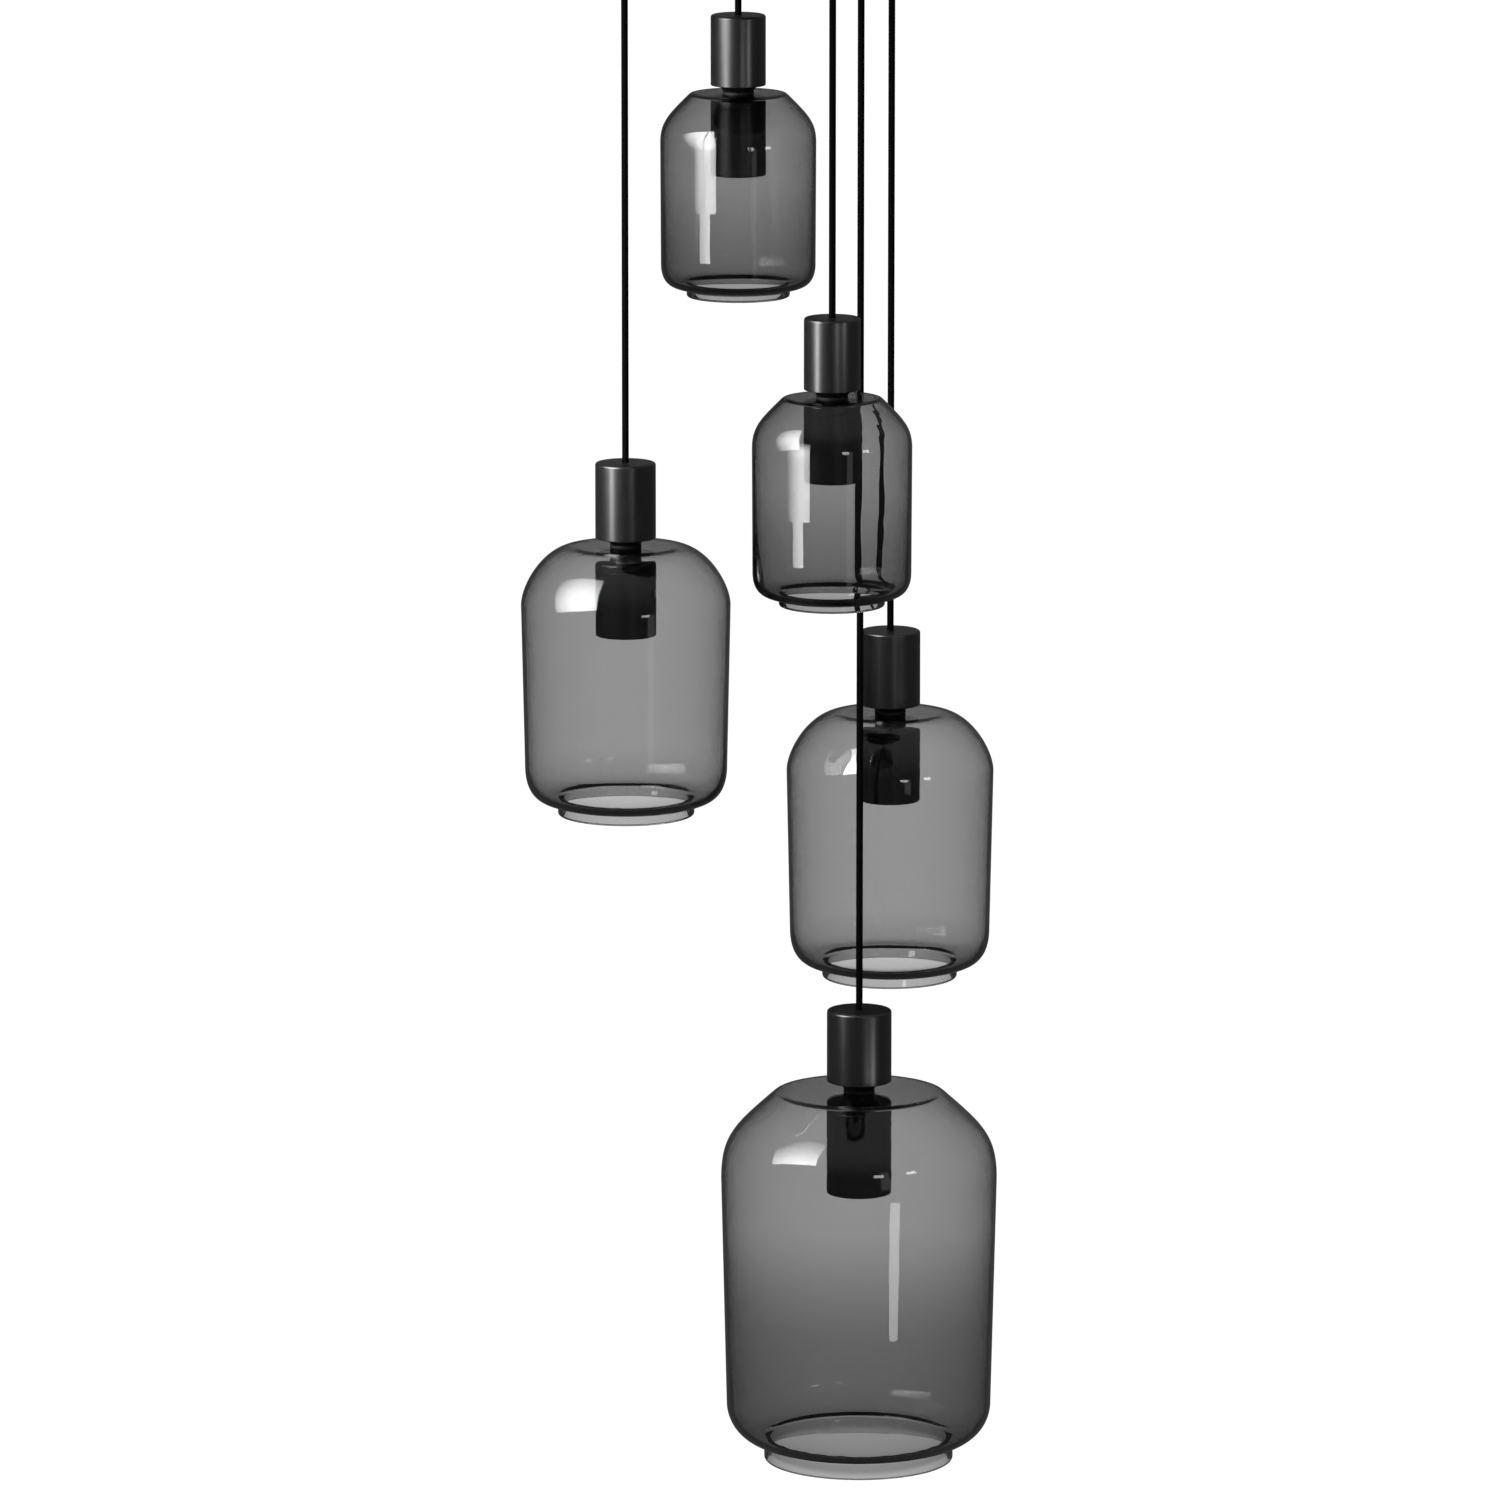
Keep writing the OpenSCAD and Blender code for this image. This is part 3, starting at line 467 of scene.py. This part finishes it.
# Screw shell with its rolled thread, and the centre contact
holder = {"rise": 6, "length": 54, "well": 18}  # the lampholder's foot above the cup's rim, and the plug above its well
shell = {"major": 13.2, "depth": 0.95, "pitch": 3.63, "sheet": 0.45, "length": 24, "low": 1.2, "steps": 48, "turns": 5}
contact = [(0, 4.6), (2, 4.6), (2, 2.6), (5, 2.6), (5.4, 2.3), (5, 1.7), (3.5, 1.2), (2, 0.9), (0, 0.8)]
for n, lamp in lamps.items():
    cup = cupSizes[lamp["size"]]
    x, y, z = lamp["centre"]
    plug = z - cup["drop"] - cup["height"] + holder["rise"] + holder["length"] - holder["well"]
    bm = bmesh.new()
    first = plug - shell["length"] + shell["low"]
    waves = [(0.5 - 0.5 * cos(2 * pi * i / 10), i / 10) for i in range(11)]
    wave = [(shell["major"] - shell["depth"] * dip, first + shell["pitch"] * part) for dip, part in waves]
    verts = [bm.verts.new(((x + r) * mm, y * mm, h * mm)) for r, h in wave]
    edges = [bm.edges.new(pair) for pair in zip(verts, verts[1:])]
    steps = shell["steps"] * shell["turns"]
    bmesh.ops.spin(
        bm, geom=verts + edges, cent=(x * mm, y * mm, 0), axis=(0, 0, 1),
        dvec=(0, 0, shell["pitch"] * mm / shell["steps"]), angle=2 * pi * shell["turns"], steps=steps,
    )
    bmesh.ops.remove_doubles(bm, verts=bm.verts, dist=0.01 * mm)
    bmesh.ops.recalc_face_normals(bm, faces=bm.faces)
    bmesh.ops.solidify(bm, geom=bm.faces[:], thickness=shell["sheet"] * mm)
    outer, inner = shell["major"] + shell["sheet"], shell["major"]
    for low, high in ((plug - shell["length"], first + 0.5), (plug - 2.4, plug)):
        turnOutline(bm, [(inner, low), (outer, low), (outer, high), (inner, high)], (x, y, 0), 48)
    turnOutline(bm, contact, (x, y, plug), 32, False)
    finishPiece(f"lampContact_{n}", bm, "brass", f"pendant_{n}", [f"lamp_contacts_{n}"], 45)
print("screw shells rolled")

# Thumb screws at the canopy's sides, with knurled heads
screws = {
    "turn": 36.5, "canopy": 200, "drop": 14, "shank": 2, "inside": 7.4, "head": 6, "seat": 0.5, "thick": 3.8,
    "teeth": 30, "knurl": 0.95,
}
bm = bmesh.new()
for k in range(4):
    place = Matrix.Rotation(radians(screws["turn"] + 90 * k), 4, "Z")
    place = place @ Matrix.Translation((screws["canopy"] * mm, 0, -screws["drop"] * mm))
    place = place @ Matrix.Rotation(pi / 2, 4, "Y")
    bmesh.ops.create_cone(
        bm, cap_ends=True, segments=24, radius1=screws["shank"] * mm, radius2=screws["shank"] * mm,
        depth=screws["inside"] * mm, matrix=place @ Matrix.Translation((0, 0, -screws["inside"] / 2 * mm)),
    )
    seat = place @ Matrix.Translation((0, 0, screws["seat"] * mm))
    verts = bmesh.ops.create_circle(
        bm, cap_ends=True, segments=2 * screws["teeth"], radius=screws["head"] * mm, matrix=seat,
    )["verts"]
    bmesh.ops.scale(bm, vec=(screws["knurl"], screws["knurl"], 1), verts=verts[::2], space=seat.inverted())
    face = next(f for f in bm.faces if len(f.verts) == 2 * screws["teeth"] and all(v in verts for v in f.verts))
    out = bmesh.ops.extrude_face_region(bm, geom=[face])["geom"]
    cut = [v for v in out if isinstance(v, bmesh.types.BMVert)]
    bmesh.ops.translate(bm, vec=place.to_3x3() @ Vector((0, 0, screws["thick"] * mm)), verts=cut)
    topFace = [f for f in out if isinstance(f, bmesh.types.BMFace)]
    # a broken edge, then a dished face
    bmesh.ops.inset_region(bm, faces=topFace, thickness=0.8 * mm, depth=0.6 * mm)
    bmesh.ops.inset_region(bm, faces=topFace, thickness=2.0 * mm, depth=0)
    bmesh.ops.inset_region(bm, faces=topFace, thickness=0.5 * mm, depth=-0.6 * mm)
finishPiece("sideScrews", bm, "gripBlack", "ceiling_mount", ["canopy_screws"], 30)

# CAD nodes that keep their shape
kept = {
    "canopy": "canopyBlack", "ceiling_bracket": "galvanised", "canopy_cord_grips": "gripBlack",
    "grip_nuts": "plated", "terminal_block": "nylon", "block_screws": "plated", "earth_screw": "brass",
    "cord_clamp": "nylon", "clamp_ring": "gripBlack", "glass_gaskets": "silicone", "lampholder": "phenolic",
}
for name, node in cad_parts.items():
    finish = kept.get(name) or kept.get(name.rsplit("_", 1)[0])
    if finish:
        node.data.materials.clear()
        node.data.materials.append(finishes[finish])
print("kept nodes finished")

# Floor, white to the camera with its shadow, dim in reflections, and with painted shade under the lamps where it is
# seen through glass
floor = {
    "height": -2.3, "half": 60, "glow": 0.68, "reflected": 0.08, "paintedShadeGlow": 0.4, "paintedShadeWithin": 3.45, "fullFrom": 4.1,
}
bm = bmesh.new()
bmesh.ops.create_grid(
    bm, x_segments=1, y_segments=1, size=floor["half"], matrix=Matrix.Translation((0, 0, floor["height"])),
)
mesh = bpy.data.meshes.new("floor")
bm.to_mesh(mesh)
bm.free()
floorObject = bpy.data.objects.new("floor", mesh)
scene.collection.objects.link(floorObject)
floorFinish, tree, shader = newFinish("paleFloor", Base_Color=(0.8, 0.8, 0.8, 1), Roughness=0.9, Specular_IOR_Level=0.0)
path = addNode(tree, "LightPath").outputs
through = lookedThrough(tree)
spot = addNode(tree, "SeparateXYZ", {"Vector": addNode(tree, "TexCoord").outputs["Object"]}).outputs
squares = [calc(tree, "MULTIPLY", spot[side], spot[side]) for side in ("X", "Y")]
away = calc(tree, "SQRT", calc(tree, "ADD", *squares))
# painted shade: seen through the glass, the floor under the lamps is painted darker than what lies beyond it
paintedFloorShade = spread(tree, away, floor["paintedShadeGlow"], 1.0, floor["paintedShadeWithin"], floor["fullFrom"])
glow = calc(tree, "MAXIMUM", path["Is Camera Ray"], calc(tree, "MULTIPLY", through, paintedFloorShade))
shader.inputs["Emission Color"].default_value = (1, 1, 1, 1)
tree.links.new(calc(tree, "MULTIPLY", glow, floor["glow"]), shader.inputs["Emission Strength"])
reflected = addNode(tree, "Emission", {"Color": (1, 1, 1, 1), "Strength": floor["reflected"]})
mirrored = calc(tree, "MULTIPLY", path["Is Glossy Ray"], calc(tree, "SUBTRACT", 1.0, through))
mixed = addNode(tree, "MixShader", {0: mirrored, 1: shader.outputs["BSDF"], 2: reflected.outputs["Emission"]})
# a camera under the floor looks up through it
under = calc(tree, "MULTIPLY", path["Is Camera Ray"], addNode(tree, "NewGeometry").outputs["Backfacing"])
clear = addNode(tree, "BsdfTransparent").outputs["BSDF"]
mixed = addNode(tree, "MixShader", {0: under, 1: mixed.outputs["Shader"], 2: clear})
tree.links.new(mixed.outputs["Shader"], tree.nodes["Material Output"].inputs["Surface"])
mesh.materials.append(floorFinish)

# World: white to the camera and straight through glass, dim in reflections so that black metal stays black
world = bpy.data.worlds.new("studio")
scene.world = world
world.use_nodes = True
tree = world.node_tree
background = tree.nodes["Background"]
background.inputs["Color"].default_value = (1, 1, 1, 1)
studio = {"ambient": 0.45, "left": 0.04, "right": 0.13, "above": 0.3, "aboveFrom": 0.45, "aboveFull": 0.9}
path = addNode(tree, "LightPath").outputs
plain = calc(tree, "MAXIMUM", path["Is Camera Ray"], lookedThrough(tree))
direction = addNode(tree, "SeparateXYZ", {"Vector": addNode(tree, "TexCoord").outputs["Generated"]}).outputs
room = spread(tree, direction["X"], studio["left"], studio["right"], -1, 1)
high = spread(tree, direction["Z"], 0.0, 1.0, studio["aboveFrom"], studio["aboveFull"])
room = addNode(tree, "Mix", {"Factor": high, "A": room, "B": studio["above"]}).outputs["Result"]
strength = addNode(tree, "Mix", {"Factor": path["Is Glossy Ray"], "A": studio["ambient"], "B": room}).outputs["Result"]
strength = addNode(tree, "Mix", {"Factor": plain, "A": strength, "B": 1.0}).outputs["Result"]
tree.links.new(strength, background.inputs["Strength"])

# Soft boxes and cards: place, turn in degrees, size and watts. The first lights the surfaces, the others show in them
boxTurn = (59, -17.4, -44.5)
lights = {
    "key": {"at": (-0.95, -0.32, -0.14), "turn": boxTurn, "size": (0.96, 0.84), "watts": 9, "lights": True},
    "keyGlare": {"at": (-0.943, -0.315, -0.145), "turn": boxTurn, "size": (0.96, 0.84), "watts": 8, "spread": 80},
    "lowCard": {"at": (0.74, -1.296, -1.64), "turn": (90, 0, 28), "size": (0.2, 0.28), "watts": 0.95},
    "highCard": {"at": (0.59, -1.38, -0.8), "turn": (90, 0, 23), "size": (0.2, 0.8), "watts": 0.25},
    "window": {"at": (0.62, -1.9, -0.4), "turn": (90, 0, 18), "size": (0.3, 0.2), "watts": 1.1},
    "sideWindow": {"at": (1.44, -1.39, -0.36), "turn": (90, 0, 46), "size": (0.3, 0.2), "watts": 1.6},
}
# strips and cards that show only in the caps, or only in one of the small shades
lights.update({
    "capStrip": {"at": (-1.26, -0.82, -0.6), "turn": (90, 0, -57), "size": (0.35, 0.28), "watts": 3.6, "only": "caps"},
    "sideCapStrip": {"at": (1.15, -0.97, -1.5), "turn": (90, 0, 50), "size": (0.3, 0.3), "watts": 1.2, "only": "caps"},
    "lowCapStrip": {
        "at": (-1.26, -0.82, -0.98), "turn": (90, 0, -57), "size": (0.35, 0.48), "watts": 1.9, "only": "caps",
    },
})
# cards close to the small shades and narrow in spread, so that the edges of the glass don't flare in other views:
# place, then the height of the middle of each card and how tall it is
smallCards = {
    "shade_1": {"at": (-0.107, 0.065), "tall": (-0.297, 0.104), "tail": (-0.373, 0.048)},
    "shade_2": {"at": (-0.019, -0.257), "tall": (-0.546, 0.1), "tail": (-0.6175, 0.043)},
}
cardMake = {"turn": (90, 0, -42), "tall": 0.042, "tail": 0.018, "wattsPerArea": 4.6, "spread": 56}
for shadeName, card in smallCards.items():
    for part in ("tall", "tail"):
        middle, height = card[part]
        lights[f"{part}Card_{shadeName}"] = {
            "at": (*card["at"], middle), "turn": cardMake["turn"], "size": (cardMake[part], height),
            "watts": cardMake["wattsPerArea"] * cardMake[part] * height, "spread": cardMake["spread"],
            "only": shadeName,
        }
throughGlass = ("keyGlare", "highCard", "window", "sideWindow")  # the others would show as white panels behind glass
for name, setting in lights.items():
    light = bpy.data.lights.new(name, "AREA")
    light.shape = "RECTANGLE"
    light.size, light.size_y = setting["size"]
    light.energy = setting["watts"]
    light.spread = radians(setting.get("spread", 180))
    lightObject = bpy.data.objects.new(name, light)
    scene.collection.objects.link(lightObject)
    lightObject.location = setting["at"]
    lightObject.rotation_euler = [radians(t) for t in setting["turn"]]
    lightObject.visible_camera = False
    lightObject.visible_diffuse = setting.get("lights", False)
    lightObject.visible_glossy = not lightObject.visible_diffuse
    lightObject.visible_transmission = name in throughGlass
    if "only" in setting:
        lightObject.light_linking.receiver_collection = lightGroups[setting["only"]]
print("studio lit")
